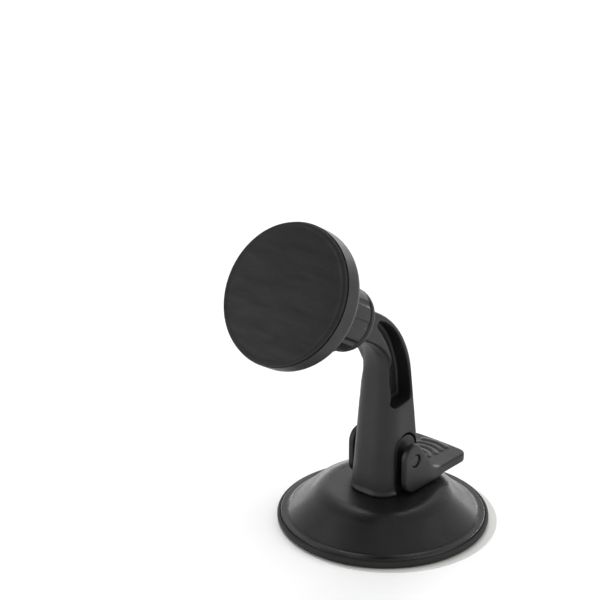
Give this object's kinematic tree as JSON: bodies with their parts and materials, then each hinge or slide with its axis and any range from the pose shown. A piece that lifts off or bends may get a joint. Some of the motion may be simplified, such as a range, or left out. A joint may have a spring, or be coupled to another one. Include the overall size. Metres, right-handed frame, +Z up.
{
  "type": "car phone mount",
  "caption": "Lever-locked suction foot with a forward-curving ribbed arm, ball joint and round magnetic head for a phone.",
  "frame": {"origin": "centre of the suction foot on the surface it stands on", "axes": "+Z up out of the foot, -Y towards the phone, +X to the right seen from the phone's side, lever paddle towards +Y"},
  "size_m": [0.066, 0.0891, 0.1047],
  "materials": {
    "film": "satin translucent",
    "soft_rubber": "soft satin",
    "moulded_black": "fine textured satin",
    "zinc_steel": "zinc plated",
    "spring_steel": "drawn wire",
    "post_black": "fine textured satin",
    "dark_steel": "blackened",
    "seat_white": "natural acetal",
    "ball_black": "polished",
    "nickel": "nickel plated",
    "pad_rubber": "matte"
  },
  "bodies": {
    "base": {"protective_film": "film", "suction_membrane": "soft_rubber", "dome_housing": "moulded_black", "arm_column": "moulded_black", "arm_screws": "zinc_steel", "return_spring": "spring_steel", "rear_ball_seat": "seat_white"},
    "post": {"pull_post": "post_black"},
    "lever": {"cam_lever": "moulded_black", "lever_pin": "dark_steel"},
    "front_seat": {"front_ball_seat": "seat_white"},
    "nut": {"lock_nut": "moulded_black"},
    "ball_nod": {"ball_core": "zinc_steel"},
    "stud": {"ball_stud": "ball_black"},
    "head": {"head_shell": "moulded_black", "backing_plate": "zinc_steel", "plate_screws": "zinc_steel", "magnet_carrier": "post_black", "magnets": "nickel", "front_pad": "pad_rubber"}
  },
  "joints": [
    {"name": "membrane_pull", "type": "slide", "parent": "base", "child": "post", "axis": [0, 0, -1], "range_m": [0, 0.0023], "deforming": ["return_spring", "suction_membrane"]},
    {"name": "lever_hinge", "type": "hinge", "parent": "post", "child": "lever", "pos_m": [0, 0.0016, 0.0221], "axis": [1, 0, 0], "range_deg": [0, 80]},
    {"name": "seat_travel", "type": "slide", "parent": "base", "child": "front_seat", "axis": [0, -0.8517, 0.524], "range_m": [0, 0.0006]},
    {"name": "lock_nut_turn", "type": "hinge", "parent": "front_seat", "child": "nut", "pos_m": [0, -0.02718, 0.07686], "axis": [0, -0.8517, 0.524], "range_deg": [0, 90]},
    {"name": "head_nod", "type": "hinge", "parent": "base", "child": "ball_nod", "pos_m": [0, -0.02718, 0.07686], "axis": [1, 0, 0], "range_deg": [-17, 17]},
    {"name": "head_turn", "type": "hinge", "parent": "ball_nod", "child": "stud", "pos_m": [0, -0.02718, 0.07686], "axis": [0, 0.524, 0.8517], "range_deg": [-17, 17]},
    {"name": "head_spin", "type": "hinge", "parent": "stud", "child": "head", "pos_m": [0, -0.04498, 0.08781], "axis": [0, -0.8517, 0.524], "continuous": true}
  ],
  "couplings": [
    {"joint": "membrane_pull", "follows": "lever_hinge", "m_per_rad": 0.0016},
    {"joint": "seat_travel", "follows": "lock_nut_turn", "m_per_rad": 0.0003183}
  ]
}
